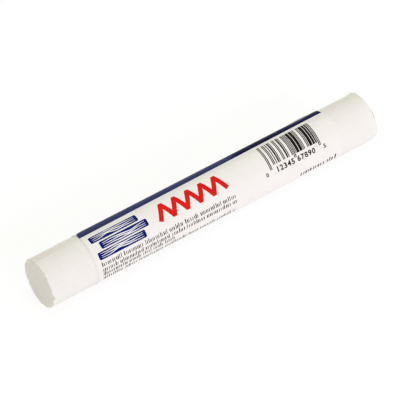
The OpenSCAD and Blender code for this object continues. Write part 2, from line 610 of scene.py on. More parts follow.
# Specks and pits: spacing, radius and the share that is kept
WAX_SPECKS = (1.4 * MM, 0.3 * MM, 0.5)
TOP_SPECKS = (0.8 * MM, 0.26 * MM, 0.4)
WAX_PITS = (1.3 * MM, 0.17 * MM, 0.3)
BOND_BUBBLES = (0.9 * MM, 0.2 * MM, 0.6)
INK_PINHOLE = (1.4 * MM, 0.05 * MM)
# Wear and painted shade that the rod's points hold: up to 1 for rubbed wax, 2 in a scoop and 3 on
# the butt rim, where it is soiled and painted in shade
RUBBED, SCOOPED, SOILED_AND_SHADED = 1, 2, 3
FILM_CLOUD, FILM_PEEL = 5 * MM, 0.35 * MM
# Streaks in the painted shade on the loose lip
LIP_SHADE_STREAK, LIP_SHADE_STRETCH = 0.2 * MM, 9
INK_COVER = 0.5 * MM
INK_SWEEP, SWEEP_STRETCH = 6 * MM, 3
BOND_CLOUD = 1.2 * MM
FLOOR_CLOUD = 60 * MM
WAX_RELIEF, FILM_RELIEF, INK_RELIEF, BOND_RELIEF = 0.035 * MM, 0.008 * MM, 0.004 * MM, 0.02 * MM


def new_finish(name):
    """A material with its tree, the place on the piece and the shader."""
    material = bpy.data.materials.new(name)
    material.use_nodes = True
    tree = material.node_tree
    place = tree.nodes.new("ShaderNodeTexCoord").outputs["Object"]
    return material, tree, place, tree.nodes["Principled BSDF"]


def grain(tree, place, size, detail=2.0, stretch=1.0):
    """Soft blotches of a size, drawn out along the stick."""
    scale = (1 / size / stretch, 1 / size, 1 / size)
    spot = add_node(tree, "ShaderNodeMapping", {"Vector": place, "Scale": scale})
    cloud = add_node(
        tree, "ShaderNodeTexNoise", {"Vector": spot.outputs[0], "Scale": 1.0, "Detail": detail}
    )
    return Number(tree, cloud.outputs[0])


def specks(tree, place, spacing, radius, kept):
    """Small round specks, of which a share is kept."""
    cells = add_node(tree, "ShaderNodeTexVoronoi", {"Vector": place, "Scale": 1 / spacing})
    pick = add_node(tree, "ShaderNodeSeparateColor", {0: cells.outputs["Color"]})
    size = Number(tree, pick.outputs[1]).spread(0.35, 1) * (radius / spacing)
    spot = 1 - (Number(tree, cells.outputs["Distance"]) / size).eased(0.4, 1)
    return spot * Number(tree, pick.outputs[0]).eased(1 - kept, 1.01 - kept)


def mixed(tree, part, first, second):
    """A colour between two colours."""
    node = add_node(tree, "ShaderNodeMix", {0: part, 6: first, 7: second}, data_type="RGBA")
    return node.outputs[2]


def layered(tree, tone, layers):
    """A tone with other colours over it, each given with its cover."""
    for cover, tint in layers:
        tone = mixed(tree, cover, tone, tint)
    return tone


def rgba(rgb, level=1.0):
    """A colour property as a socket's value, brighter or darker by a factor."""
    return (rgb[0] * level, rgb[1] * level, rgb[2] * level, 1.0)


def point_value(tree, name):
    """A number that the mesh's points hold."""
    return Number(tree, add_node(tree, "ShaderNodeAttribute", attribute_name=name).outputs["Fac"])


def set_relief(tree, shader, height, distance):
    """Fine relief on a finish."""
    bump = add_node(
        tree, "ShaderNodeBump", {"Height": height, "Distance": distance, "Strength": 1.0}
    )
    tree.links.new(bump.outputs[0], shader.inputs["Normal"])


def set_shader(tree, shader, **sockets):
    """Sets or links a shader's inputs, which are named with _ for spaces."""
    for name, value in sockets.items():
        set_socket(tree, shader.inputs[name.replace("_", " ")], value)


def wax_finish(wax):
    """Soft white wax: faintly cloudy, with drag lines along the rod, pits, and specks in front."""
    material, tree, place, shader = new_finish("Filling wax")
    along, _, height = parts_of(tree, place)
    used = 1 - along.eased(*USED_END)
    side = along.eased(*FRONT_EDGE)
    upper = height.eased(*UPPER_SIDE) * used
    cloud = grain(tree, place, WAX_CLOUD, 3.0)
    fine = grain(tree, place, WAX_GRAIN, 3.0)
    drag = grain(tree, place, DRAG_LINE, 2.0, DRAG_STRETCH)
    bands = grain(tree, place, DRAG_BAND, 1.0, BAND_STRETCH).eased(0.42, 0.58)
    lines = drag.eased(0.56, 0.68) * bands
    dashes = drag.eased(0.5, 0.62) * bands * cloud.eased(0.4, 0.6) * upper
    spots = specks(tree, place, *WAX_SPECKS) * side * used.spread(0.05, 0.7)
    spots = spots + specks(tree, place, *TOP_SPECKS) * side * upper
    pits = specks(tree, place, *WAX_PITS)
    # Wear and painted shade that the rod's points hold
    wear_and_shade = point_value(tree, "edge_wear")
    tone = layered(
        tree,
        mixed(tree, cloud.eased(0.3, 0.7), rgba(wax.body, 0.99), rgba(wax.body, 1.008)),
        [
            (lines * used.spread(0.35, 0.8), rgba(wax.rubbed, 0.96)),
            (dashes * 0.12, rgba(wax.speck)),
            (wear_and_shade.clamped() * cloud.spread(0.5, 1), rgba(wax.rubbed)),
            ((wear_and_shade - RUBBED).clamped() * 0.12, rgba(wax.speck)),
            # A dark copy of the rubbed wax on the butt rim: soil and painted shade
            ((wear_and_shade - SCOOPED).clamped() * 0.9, rgba(wax.rubbed, 0.3)),
            (spots * fine.eased(0.25, 0.5) * 0.6, rgba(wax.speck)),
            # Painted shade in the pits: a darker copy of the rubbed wax
            (pits * 0.22, rgba(wax.rubbed, 0.85)),
        ],
    )
    set_shader(
        tree,
        shader,
        Base_Color=tone,
        Roughness=(cloud + fine).spread(0.32, 0.5),
        Subsurface_Weight=0.3,
        Subsurface_Radius=(1.0, 0.86, 0.66),
        Subsurface_Scale=1.2 * MM,
        IOR=1.44,
    )
    relief = fine * 0.5 + drag * 0.5 + cloud * 0.4 - pits * 0.9
    set_relief(tree, shader, relief, WAX_RELIEF)
    return material


def film_finish(label):
    """White semi-gloss film, with the faint peel of its coating, soil and painted shade at its
    ends, and painted shade on its loose lip.
    """
    material, tree, place, shader = new_finish("White label film")
    cloud = grain(tree, place, FILM_CLOUD)
    peel = grain(tree, place, FILM_PEEL)
    streaks = grain(tree, place, LIP_SHADE_STREAK, 3.0, LIP_SHADE_STRETCH)
    # A beige line at the film's cut ends: soil, and painted shade at the edge, most at the front
    # end's top
    soil_and_shade = point_value(tree, "edge_wear") * cloud.spread(0.2, 1.2).clamped()
    # Painted shade on the loose lip, in streaks, for the shadowed gap under the lifted free edge
    lip_shade_share = point_value(tree, "lip_dust") * (streaks.eased(0.3, 0.65) * 0.6 + 0.6)
    tone = layered(
        tree,
        mixed(tree, cloud.eased(0.3, 0.7), rgba(label.film, 0.99), rgba(label.film, 1.008)),
        [(soil_and_shade, rgba(label.soil_and_shade_colour)), (lip_shade_share.clamped(), rgba(label.lip_shade_colour))],
    )
    set_shader(
        tree,
        shader,
        Base_Color=tone,
        Roughness=(cloud + peel).spread(0.18, 0.26),
        IOR=1.5,
        Specular_IOR_Level=0.5,
    )
    set_relief(tree, shader, peel * 0.6 + cloud, FILM_RELIEF)
    return material


def ink_finish(name, tint, gloss, pinholes, tint_without_sheen=None):
    """Printed ink, a little uneven in its cover, with a few pinholes."""
    material, tree, place, shader = new_finish(name)
    cover = grain(tree, place, INK_COVER, 3.0)
    sweep = grain(tree, place, INK_SWEEP, 1.0, SWEEP_STRETCH)
    holes = specks(tree, place, *INK_PINHOLE, pinholes)
    layers = [(sweep.eased(0.35, 0.7) * 0.4, rgba(tint, 1.25))]
    # A darker ink where the point value says, without the sheen painted into the tint
    if tint_without_sheen:
        deep = mixed(tree, sweep.eased(0.4, 0.65), rgba(tint_without_sheen, 0.7), rgba(tint_without_sheen, 1.6))
        layers.append((point_value(tree, "loose"), deep))
    layers.append((holes * 0.7, PINHOLE_WHITE))
    tone = mixed(tree, cover.eased(0.3, 0.7), rgba(tint, 0.86), rgba(tint, 1.14))
    set_shader(
        tree,
        shader,
        Base_Color=layered(tree, tone, layers),
        Roughness=(cover + sweep).spread(gloss - 0.05, gloss),
        IOR=1.5,
        Specular_IOR_Level=0.01,
    )
    set_relief(tree, shader, cover, INK_RELIEF)
    return material


def bond_finish(label):
    """Thin amber adhesive, with trapped bubbles."""
    material, tree, place, shader = new_finish("Lap adhesive")
    cloud = grain(tree, place, BOND_CLOUD, 3.0)
    bubbles = specks(tree, place, *BOND_BUBBLES)
    tone = mixed(tree, cloud, rgba(label.bond_colour, 0.85), rgba(label.bond_colour, 1.1))
    tone = mixed(tree, bubbles * 0.5, tone, rgba(label.film))
    set_shader(tree, shader, Base_Color=tone, Roughness=cloud.spread(0.25, 0.5), IOR=1.48)
    set_relief(tree, shader, cloud - bubbles, BOND_RELIEF)
    return material


def show_apart(tree, lit, shown, output):
    """Lights the scene with one shader and shows another to the camera, in a gloss or glass."""
    paths = tree.nodes.new("ShaderNodeLightPath").outputs
    seen = Number(tree, paths["Is Camera Ray"])
    for name in ("Is Glossy Ray", "Is Transmission Ray"):
        seen = seen.most(Number(tree, paths[name]))
    both = add_node(
        tree, "ShaderNodeMixShader", {0: seen, 1: lit.outputs[0], 2: shown.outputs[0]}
    )
    tree.links.new(both.outputs[0], tree.nodes[output].inputs["Surface"])


def floor_finish(stage):
    """A white floor that shows the stick's shadow and throws soft light back."""
    material, tree, place, shader = new_finish("Studio floor")
    tree.nodes.remove(shader)
    cloud = grain(tree, place, FLOOR_CLOUD, 1.0)
    tone = mixed(tree, cloud, rgba(stage.floor, 0.99), rgba(stage.floor))
    plain = add_node(tree, "ShaderNodeBsdfDiffuse", {"Color": tone})
    lit = add_node(tree, "ShaderNodeBsdfDiffuse", {"Color": rgba((1, 1, 1), stage.shadow)})
    glow = add_node(tree, "ShaderNodeEmission", {"Color": WHITE, "Strength": stage.glow})
    shown = add_node(tree, "ShaderNodeAddShader", {0: glow.outputs[0], 1: lit.outputs[0]})
    show_apart(tree, plain, shown, "Material Output")
    return material


# Wax rod

ROD_TURNS = 300
CORNER_STEPS = 6
FRONT_LENGTH = 2.4 * MM
FRONT_STEPS = (0.1, 0.22, 0.36, 0.52, 0.74, 1.0)
SIDE_STEPS = 76
FLARE_STEPS = 8
# Rings of an end face, as shares of its radius
FACE_SHARES = (0.06, 0.14, 0.23, 0.32, 0.41, 0.5, 0.59, 0.67, 0.75, 0.82, 0.88, 0.93, 0.97, 1.0)
# Scoops in the front rim: place as a share of a full turn, and size as a share of the largest
CHIP_PLACES = ((0.24, 1.0), (0.295, 0.7), (0.06, 0.45), (0.645, 0.45), (0.81, 0.8))
NICK_PLACES = ((0.092, 0.32), (0.17, 0.42))
NICK_SIZES = (0.14, 0.34)
NICK_COUNT = 16
NICK_SEED = 4
# A scoop is this much wider on the end face and shorter on the side than the rim's wear
SCOOP_WIDER, SCOOP_SHORTER = 0.5, 0.1
SCOOP_HOLLOW = 0.08
# Turn at which the front rim is handled most, and how far that reaches, in radians
HANDLED_TURN, HANDLED_SPREAD = -0.2, 0.6
RAG_COARSE, RAG_FINE, RAG_BURR = 1.7 * MM, 0.6 * MM, 1.6 * MM
DENT_COARSE, DENT_FINE = 7 * MM, 2.2 * MM
# Ridges on the cut ends: direction across them, how many to a millimetre, and how they wander
RIDGE_Y, RIDGE_Z = 0.8, 0.6
RIDGE_RATE, RIDGE_SLICE = 1.3, 3.7
RIDGE_WANDER, WANDER_SIZE = 0.3, 4
SWELL_HEIGHT, SWELL_SIZE = 1.5, 5
RIDGE_FADE = 1.2 * MM
# Finger dents: place along the stick, turn in degrees, length, width and depth in millimetres
FINGER_DENTS = (
    (57.07, 2.0, 0.6, 0.4, 0.08),
    (-51.0, 170.0, 1.1, 0.6, 0.05),
    (53.0, -130.0, 0.9, 0.5, 0.05),
)
# Rub of the wax at a rim, and where it ends on the side behind the front rim
RIM_RUB = 0.5
RUB_FADE = (0.6 * MM, 1.6 * MM)
# Turns in degrees over which soil and painted shade on the butt rim come in and go out
BUTT_SOIL_AND_SHADE = (26, 36, 52, 66)
BURR_SHIFT = 1.8 * MM
BURR_ROOT = 0.1 * MM
BURR_CURL = 1.8
BURR_LIP = 0.03 * MM
BURR_LIP_LENGTH = 0.05 * MM


def relief_at(x, turn, size):
    """Soft unevenness of a size, from -1 to 1, at a place on the rod."""
    return noise.noise(Vector(on_stick(x, turn, WAX_R)) / size)


def rim_scoops(wax):
    """The front rim's scoops: the turn, radius and stand-off of each."""
    draw = random.Random(NICK_SEED)
    sizes = [(FULL_TURN * part, size) for part, size in CHIP_PLACES + NICK_PLACES]
    sizes += [(draw.uniform(0, FULL_TURN), draw.uniform(*NICK_SIZES)) for _ in range(NICK_COUNT)]
    stand_off = (wax.chip_radius - wax.chip_depth) / math.sqrt(2)
    return [(turn, wax.chip_radius * size, stand_off * size) for turn, size in sizes]


def rim_cut(wax, scoops, turn):
    """Width of what is gone from the front rim at a turn, and how far it is a scoop."""
    aside = (math.remainder(turn, FULL_TURN) - HANDLED_TURN) / HANDLED_SPREAD
    coarse, fine = relief_at(WAX_LOW.x, turn, RAG_COARSE), relief_at(0, turn, RAG_FINE)
    ragged = 1 + 0.45 * coarse + 0.25 * fine
    width = (wax.rim_wear + wax.rim_top_wear * math.exp(-aside ** 2)) * ragged
    scooped = 0.0
    for place, radius, stand_off in scoops:
        along = WAX_R * math.remainder(turn - place, FULL_TURN)
        if abs(along) < radius:
            bite = (math.sqrt(radius ** 2 - along ** 2) - stand_off) * (0.7 + 0.3 * ragged)
            if bite > width:
                scooped = smooth(bite / width, 1.0, 1.6)
                width = bite
    return width, scooped


def end_relief(wax, turn, reach):
    """Ridges that the blade left across an end, in the direction of its cut."""
    spot = Vector(on_stick(0, turn, reach)) / MM
    wander = RIDGE_WANDER * noise.noise(spot / WANDER_SIZE)
    across = spot.y * RIDGE_Y + spot.z * RIDGE_Z + wander
    ridges = noise.noise(Vector((across * RIDGE_RATE, 0, RIDGE_SLICE)))
    swell = SWELL_HEIGHT * noise.noise(spot / SWELL_SIZE)
    return wax.cut_relief * (ridges + swell) * smooth(WAX_R - reach, 0, RIDGE_FADE)


def front_x(wax, turn, reach):
    """Where the front cut lies."""
    return WAX_LOW.x + wax.front_slant * (reach * math.cos(turn) + WAX_R) / (2 * WAX_R)


def side_reach(wax, x, turn):
    """Radius of the rod's side, with its shallow dents."""
    dents = relief_at(x, turn, DENT_COARSE) + 0.5 * relief_at(x, turn, DENT_FINE)
    reach = WAX_R + wax.side_relief * min(0.3, 0.5 * dents - 0.1)
    for place, dent_turn, long, wide, deep in FINGER_DENTS:
        aside = WAX_R * math.remainder(turn - math.radians(dent_turn), FULL_TURN)
        far = ((x - place * MM) / (long * MM)) ** 2 + (aside / (wide * MM)) ** 2
        reach -= deep * MM * math.exp(-far)
    return reach


def burr_reach(wax, x, turn):
    """Radius of the burr's flare, which is turned about a line beside the axis."""
    flare = (x - WAX_HIGH.x) / wax.burr_length + 1
    if flare < 0:
        return 0.0
    flare = flare ** BURR_CURL
    ragged = 1 + 0.3 * relief_at(0, turn, RAG_BURR)
    radius = WAX_R - BURR_SHIFT - BURR_ROOT + flare * (wax.burr_height * ragged + BURR_ROOT)
    aside = turn - wax.burr_turn
    lip = BURR_LIP * smooth(x, WAX_HIGH.x - BURR_LIP_LENGTH, WAX_HIGH.x)
    inside = max(0, radius ** 2 - (BURR_SHIFT * math.sin(aside)) ** 2)
    return BURR_SHIFT * math.cos(aside) + math.sqrt(inside) - lip


def face_rub(part):
    """Rub of an end face, near its rim."""
    return RIM_RUB * smooth(part, 0.95, 1.0)


def rod_rings(wax):
    """Rings of the rod from its front face to its butt face: x, reach, and wear and painted shade
    at a turn.
    """
    scoops = rim_scoops(wax)
    cuts = {}

    def cut(turn):
        if turn not in cuts:
            cuts[turn] = rim_cut(wax, scoops, turn)
        return cuts[turn]

    def face_ring(part):
        def ring(turn):
            width, scooped = cut(turn)
            reach = part * (WAX_R - width * (1 + SCOOP_WIDER * scooped))
            x = front_x(wax, turn, reach) - end_relief(wax, turn, reach)
            return x, reach, face_rub(part)
        return ring

    def corner_ring(step):
        part = step / CORNER_STEPS
        quarter = math.pi / 2 * step / CORNER_STEPS
        round_in, flat_in = 1 - math.sin(quarter), 1 - part
        round_on, flat_on = 1 - math.cos(quarter), part

        def ring(turn):
            width, scooped = cut(turn)
            hollow = SCOOP_HOLLOW * width * math.sin(math.pi * part)
            deep, long = 1 + SCOOP_WIDER * scooped, 1 - SCOOP_SHORTER * scooped
            inward = deep * width * (round_in + (flat_in - round_in) * scooped) + hollow * scooped
            onward = long * width * (round_on + (flat_on - round_on) * scooped) + hollow * scooped
            reach = side_reach(wax, WAX_LOW.x, turn) - inward
            wear_and_shade = (1 + math.sin(math.pi * part)) * (RIM_RUB + 0.35 * scooped)
            return front_x(wax, turn, WAX_R) + onward, reach, wear_and_shade
        return ring

    def side_ring(target, part):
        def ring(turn):
            width, scooped = cut(turn)
            start = front_x(wax, turn, WAX_R) + width * (1 - SCOOP_SHORTER * scooped)
            x = start + (target - start) * part
            reach = max(side_reach(wax, x, turn), burr_reach(wax, x, turn))
            return x, reach, RIM_RUB * (1 - smooth(x - WAX_LOW.x, *RUB_FADE))
        return ring

    def butt_ring(step):
        quarter = math.pi / 2 * step / CORNER_STEPS
        x = WAX_HIGH.x - wax.butt_round * (1 - math.sin(quarter))

        def ring(turn):
            plain = side_reach(wax, x, turn) - wax.butt_round * (1 - math.cos(quarter))
            aside = math.degrees(math.remainder(turn, FULL_TURN))
            # Soil and painted shade on the butt rim
            soil_and_shade = smooth(aside, *BUTT_SOIL_AND_SHADE[:2]) * (1 - smooth(aside, *BUTT_SOIL_AND_SHADE[2:]))
            wear_and_shade = max(0.6 * smooth(step, 1, CORNER_STEPS), SOILED_AND_SHADED * soil_and_shade * smooth(step, -1, 1))
            return x, max(plain, burr_reach(wax, x, turn)), wear_and_shade
        return ring

    def butt_face_ring(part):
        rim = butt_ring(CORNER_STEPS)

        def ring(turn):
            reach = part * rim(turn)[1]
            return WAX_HIGH.x + end_relief(wax, turn, reach), reach, face_rub(part)
        return ring

    near = WAX_LOW.x + FRONT_LENGTH
    far = WAX_HIGH.x - wax.burr_length
    last = WAX_HIGH.x - wax.butt_round
    corner = range(1, CORNER_STEPS + 1)
    stations = between(near, far, SIDE_STEPS)[1:] + between(far, last, FLARE_STEPS)[1:]
    return [
        *(face_ring(part) for part in FACE_SHARES),
        *(corner_ring(step) for step in corner),
        *(side_ring(near, part) for part in FRONT_STEPS),
        *(side_ring(x, 1.0) for x in stations),
        *(butt_ring(step) for step in corner),
        *(butt_face_ring(part) for part in reversed(FACE_SHARES[:-1])),
    ]


def rod_mesh(name, wax):
    """The rod as one closed skin."""
    turns = [FULL_TURN * i / ROD_TURNS for i in range(ROD_TURNS)]
    points, ring_wear_and_shade, faces = [], [], []
    for ring in rod_rings(wax):
        for turn in turns:
            x, reach, wear_and_shade = ring(turn)
            points.append(on_stick(x, turn, reach))
            ring_wear_and_shade.append(wear_and_shade)
    count = len(points) // ROD_TURNS
    for i in range(count - 1):
        for j in range(ROD_TURNS):
            k = (j + 1) % ROD_TURNS
            here, there = i * ROD_TURNS, (i + 1) * ROD_TURNS
            faces.append((here + j, here + k, there + k, there + j))
    front, butt = len(points), len(points) + 1
    points.append((front_x(wax, 0, 0) - end_relief(wax, 0, 0), 0, AXIS_Z))
    points.append((WAX_HIGH.x + end_relief(wax, 0, 0), 0, AXIS_Z))
    ring_wear_and_shade += [0, 0]
    end = (count - 1) * ROD_TURNS
    for j in range(ROD_TURNS):
        k = (j + 1) % ROD_TURNS
        faces.append((front, k, j))
        faces.append((butt, end + j, end + k))
    mesh = bpy.data.meshes.new(name)
    mesh.from_pydata(points, [], faces)
    mesh.polygons.foreach_set("use_smooth", [True] * len(mesh.polygons))
    add_attribute(mesh, "edge_wear", ring_wear_and_shade)
    return mesh


# Label and print, in millimetres on the flat sheet

SHEET_COLUMNS, SHEET_ROWS = 130, 210
STRIPE_COLUMNS, STRIPE_ROWS = 130, 24
# Columns at the film's cut ends, and in a rounded corner as shares of its radius
EDGE_COLUMNS = (0.0, 0.06, 0.12, 0.2, 0.3)
CORNER_COLUMNS = (0.0, 0.02, 0.06, 0.12, 0.2, 0.3, 0.42, 0.56, 0.72, 0.86, 1.0)
BOND_ROWS = 20
BOND_UNEVEN, BOND_WAVE = 0.25, 2.5
# Soil and painted shade at the film's cut ends: its width, its least share, and the heights where
# it comes in
SOIL_AND_SHADE_WIDTH = 0.26
SOIL_AND_SHADE_LEAST = 0.06
SOIL_AND_SHADE_RISE = (-4.2, -1.6)
# Places between which the stripe's ink loses its painted sheen and turns dark, and the lip comes up
# and goes down, with its painted shade
LOOSE_PLACES = (10, 14.5)
LIP_PLACES = (31.5, 36.0, 41.0, 44.5)
LIP_DROP = 0.8
LIP_SOFT = 0.1
LIP_FADE = 0.45
# Boxes are left, right, low and high
BOARD_BOXES = (
    (-41.65, -25.0, -1.8, 0.55),
    (-39.6, -22.95, -4.6, -2.25),
    (-41.65, -25.0, -7.4, -5.05),
)
BOARD_CORNER = 0.45
BOARD_COLUMNS, BOARD_ROWS = 14, 8
# Grain lines of a board: place across it, and how far each rises at the board's swell
GRAIN_LINES = ((-0.66, 0.1), (0.0, 0.3), (0.6, 0.5))
# Place of each board's swell, as a share of its length
GRAIN_SWELLS = (0.36, 0.62, 0.45)
GRAIN_SPAN = 2.2
GRAIN_SWAY = 0.06
SWAY_RATE, SWAY_SHIFT = 1.1, 5
GRAIN_WIDTH = 0.3
GRAIN_TIP = 0.3
GRAIN_INSET = 0.9
GRAIN_STEPS = 40
RUB_BOX = (-19.05, 4.85, -5.46, -0.49)
RUB_STROKES = 10
RUB_WIDTH = 1.5
RUB_TIP = 0.45
# Rows of ticks are left, right, foot and height
NOTE_ROWS = (
    (-41.6, 6.6, -9.58, 1.08),
    (-41.6, 6.65, -11.42, 1.08),
    (-41.6, -16.35, -13.06, 1.08),
    (-41.5, 6.2, -15.14, 1.08),
    (30.2, 44.4, -14.9, 1.6),
)
TICK_RUN = (5, 16)
TICK_WIDTHS = (0.19, 0.23, 0.3)
TICK_GAPS = (0.22, 0.3, 0.42)
TALL_TICK = 1.4
TALL_SHARE = 0.25
WORD_GAP = 0.5
TICK_STEPS = 3
BARS_LEFT, BARS_RIGHT = 20.0, 38.85
BARS_TOP, BARS_FOOT, GUARD_FOOT = 1.71, -5.8, -6.93
BAR_SEED = 1172
BAR_GAIN = 0.06
BAR_STEPS = 18
GROUP_DIGITS = 5
DIGIT_MODULES = 7
# Digits, with their middle and their height
DIGIT_ROWS = (("0", 18.5, 1.35), ("12345", 25.45, 1.86), ("67890", 33.05, 1.86), ("5", 39.9, 1.35))
DIGIT_FOOT = -8.5
DIGIT_SPACING = 1.16
DIGIT_WEIGHT = 0.03


def settle(piece, body, node=None):
    """Says which body a piece goes with and which solid it stands for."""
    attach(piece, body)
    if node:
        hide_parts(node)


def draw_flat(name, shapes, settings, finish, rise=None):
    """Prints flat shapes, given in millimetres, on the label."""
    marks = settings.marks
    points, faces = joined(shapes)
    points = [(x * MM, y * MM) for x, y in points]
    mesh = slab(name, points, faces, -marks.ink_root, rise or marks.ink_rise)
    settle(wind(mesh, settings.label, finish), "sleeve")


def draw_blocks(name, blocks, settings, finish, steps):
    """Prints upright blocks on the label, each given by its middle, width and height."""
    marks = settings.marks
    middle = (marks.ink_rise - marks.ink_root) / 2
    mesh = bpy.data.meshes.new(name)
    mesh.from_pydata([(x * MM, y * MM, middle) for x, y, _, _ in blocks], [], [])
    add_attribute(mesh, "mark_width", [width * MM for _, _, width, _ in blocks])
    add_attribute(mesh, "mark_height", [height * MM for _, _, _, height in blocks])
    extra = {"Rows": steps, "Ink Depth": marks.ink_rise + marks.ink_root}
    settle(wind(mesh, settings.label, finish, marks_tree(), extra), "sleeve")


def rounding(gap, radius):
    """How far a rounded corner draws an edge in, at a gap from where the corner starts."""
    if gap >= radius:
        return 0.0
    return radius - math.sqrt(max(0, radius ** 2 - (radius - gap) ** 2))


def board_shape(left, right, low, high):
    """A printed board, with rounded corners."""
    corner = [BOARD_CORNER * part for part in CORNER_COLUMNS]
    columns = [left + gap for gap in corner]
    columns += between(left + BOARD_CORNER, right - BOARD_CORNER, BOARD_COLUMNS)[1:]
    columns += [right - gap for gap in reversed(corner[:-1])]

    def inset(x):
        return rounding(min(x - left, right - x), BOARD_CORNER)

    return patch(columns, lambda x: low + inset(x), lambda x: high - inset(x), BOARD_ROWS)


def grain_shapes():
    """Wood grain on the boards: long lines that crowd beside a swell, as a sawn board shows."""
    shapes = []
    for i, (left, right, low, high) in enumerate(BOARD_BOXES):
        place = left + (right - left) * GRAIN_SWELLS[i]
        way = 1 if i % 2 else -1
        start, end = left + GRAIN_INSET, right - GRAIN_INSET
        for offset, rise in GRAIN_LINES:
            line, widths = [], []
            for x in between(start, end, GRAIN_STEPS):
                swell = rise * math.exp(-((x - place) / GRAIN_SPAN) ** 2)
                sway = GRAIN_SWAY * math.sin(SWAY_RATE * x + SWAY_SHIFT * offset)
                line.append(Vector((x, (low + high) / 2 + way * (offset - swell) + sway)))
                part = (x - start) / (end - start)
                swollen = (1 - GRAIN_TIP) * math.sin(math.pi * part)
                widths.append(GRAIN_WIDTH * (GRAIN_TIP + swollen))
            shapes.append(ribbon(line, widths, 2))
    return shapes


def rub_shape():
    """The rub mark, a bold zigzag stroke with its tips cut level."""
    left, right, low, high = RUB_BOX
    step = (right - left) / RUB_STROKES
    corners = [
        Vector((left + step * i, low if i % 2 == 0 else high)) for i in range(RUB_STROKES + 1)
    ]
    stroke = ribbon(corners, [RUB_WIDTH] * len(corners), 1)
    return in_steps(*stroke, low - RUB_TIP, high + RUB_TIP)


def tick_row(draw, left, right, foot, height):
    """A row of made-up upright ticks, set in runs as words are."""
    blocks = []
    x = left
    while x < right:
        for _ in range(draw.randint(*TICK_RUN)):
            width = draw.choice(TICK_WIDTHS) * height
            if x + width > right:
                break
            top = height * (TALL_TICK if draw.random() > 1 - TALL_SHARE else 1.0)
            blocks.append((x + width / 2, foot + top / 2, width, top))
            x += width + draw.choice(TICK_GAPS) * height
        x += WORD_GAP * height
    return blocks


def bar_blocks(draw):
    """Bars of a made-up code: guard bars, and runs of bars and gaps between them."""
    guard = [(1, True), (1, False), (1, True)]
    runs = [*guard]
    for side in range(2):
        for _ in range(GROUP_DIGITS):
            cuts = [0, *sorted(draw.sample(range(1, DIGIT_MODULES), 3)), DIGIT_MODULES]
            runs += [(cuts[i + 1] - cuts[i], (i + side) % 2 == 1) for i in range(4)]
        runs += guard if side else [(1, False), *guard, (1, False)]
    module = (BARS_RIGHT - BARS_LEFT) / sum(count for count, _ in runs)
    guards = {0, 2, len(runs) // 2 - 1, len(runs) // 2 + 1, len(runs) - 3, len(runs) - 1}
    blocks = []
    x = BARS_LEFT
    for i, (count, inked) in enumerate(runs):
        if inked:
            foot = GUARD_FOOT if i in guards else BARS_FOOT
            middle = (x + count * module / 2, (BARS_TOP + foot) / 2)
            blocks.append((*middle, count * module + BAR_GAIN, BARS_TOP - foot))
        x += count * module
    return blocks


def digit_shape(digits, middle, height):
    """Plain running digits under the bars, as flat faces in short steps down the label."""
    words = bpy.data.curves.new("digits", "FONT")
    words.body = digits
    words.resolution_u = 3
    words.space_character = DIGIT_SPACING
    words.offset = DIGIT_WEIGHT
    mesh = plain_mesh(new_piece("digits", words))
    bpy.data.curves.remove(words)
    drawn = bmesh.new()
    drawn.from_mesh(mesh)
    bpy.data.meshes.remove(mesh)
    low_x, high_x = (pick(vert.co.x for vert in drawn.verts) for pick in (min, max))
    low_y, high_y = (pick(vert.co.y for vert in drawn.verts) for pick in (min, max))
    size = height / (high_y - low_y)
    for vert in drawn.verts:
        vert.co = (
            (vert.co.x - (low_x + high_x) / 2) * size + middle,
            (vert.co.y - low_y) * size + DIGIT_FOOT,
            0,
        )
    bmesh.ops.remove_doubles(drawn, verts=drawn.verts, dist=2 * CUT_SNAP)
    return in_steps(*flat_of(drawn))


def sheet_columns():
    """Places along the label, closer together at its two cut ends."""
    start, end = FILM_LOW.x, FILM_HIGH.x
    edge = [gap * MM for gap in EDGE_COLUMNS]
    inner = between(start + edge[-1], end - edge[-1], SHEET_COLUMNS)
    return [start + gap for gap in edge[:-1]] + inner + [end - gap for gap in reversed(edge[:-1])]


def lip_at(x):
    """How far the film's free edge has let go and is painted in shade, at a place along the label.
    """
    start, full, ebb, end = (place * MM for place in LIP_PLACES)
    return smooth(x, start, full) * (1 - smooth(x, ebb, end))


def edge_soil_and_shade(x, y):
    """How much soil and painted shade the film has near its cut ends: most in front, where the
    print starts.
    """
    line = 1 - smooth(min(x - FILM_LOW.x, FILM_HIGH.x - x), 0, SOIL_AND_SHADE_WIDTH * MM)
    # The soil and painted shade grow towards the top of the front end
    rubbed = smooth(y / MM, *SOIL_AND_SHADE_RISE) if x < 0 else 0.0
    return line * (SOIL_AND_SHADE_LEAST + (1 - SOIL_AND_SHADE_LEAST) * rubbed)


def lip_dust(x, y, low, high):
    """How much painted shade the film has between the stripe and its free edge, where that has let
    go.
    """
    start = smooth(y, low - LIP_SOFT * MM, low)
    return lip_at(x) * start * (1 - LIP_FADE * smooth(y, low + LIP_DROP * MM, high))


# Stage

def add_floor(stage):
    """A wide flat floor."""
    half = stage.floor_size / 2
    mesh = bpy.data.meshes.new("floor")
    corners = [(-half, -half, 0), (half, -half, 0), (half, half, 0), (-half, half, 0)]
    mesh.from_pydata(corners, [], [(0, 1, 2, 3)])
    mesh.materials.append(floor_finish(stage))
    new_piece("floor", mesh)


def soft_lamp(name, width, height, power, tint):
    """A flat lamp of a size, as a softbox is."""
    lamp = bpy.data.lights.new(name, "AREA")
    lamp.shape = "RECTANGLE"
    lamp.size, lamp.size_y = width, height
    lamp.energy = power
    lamp.color = tint
    return lamp


def place_at(data, azimuth, elevation, distance):
    """Puts a lamp or a camera round the stick, turned towards its middle."""
    back = Vector((
        math.sin(azimuth) * math.cos(elevation),
        -math.cos(azimuth) * math.cos(elevation),
        math.sin(elevation),
    ))
    holder = new_piece(data.name, data)
    holder.location = Vector((0, 0, AXIS_Z)) + back * distance
    holder.rotation_euler = (-back).to_track_quat("-Z", "Y").to_euler()
    return holder


